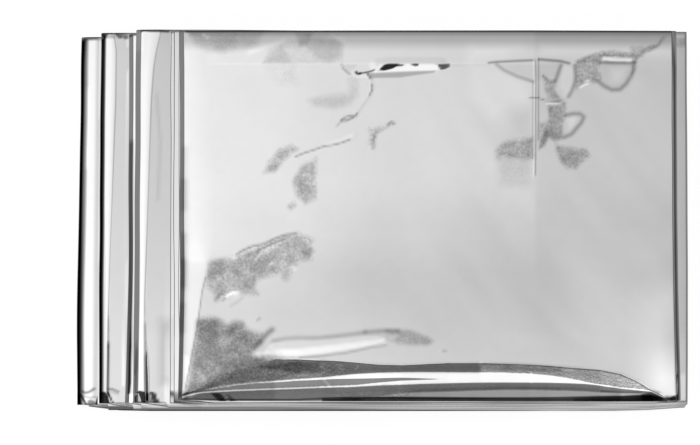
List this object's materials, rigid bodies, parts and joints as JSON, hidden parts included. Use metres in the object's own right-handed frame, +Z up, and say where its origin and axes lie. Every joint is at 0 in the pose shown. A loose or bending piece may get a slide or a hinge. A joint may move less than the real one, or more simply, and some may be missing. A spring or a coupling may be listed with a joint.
{
  "type": "folded emergency foil blanket",
  "caption": "Emergency blanket of bright metallised film, pleated into a strip and folded back and forth into a flat packet, with the folds at one end stepped back like stairs",
  "frame": {"origin": "on the surface the packet lies on, under the middle of its box", "axes": "+X along the packet from its stepped folds to its even folds, +Y across it to its back long edge, +Z up from the surface"},
  "size_m": [0.1349, 0.0831, 0.0214],
  "materials": {
    "silver_foil": "bright metallised polyester film, mirror-like, with fine crinkle"
  },
  "bodies": {
    "root": {"foil_blanket": "silver_foil"}
  },
  "joints": []
}
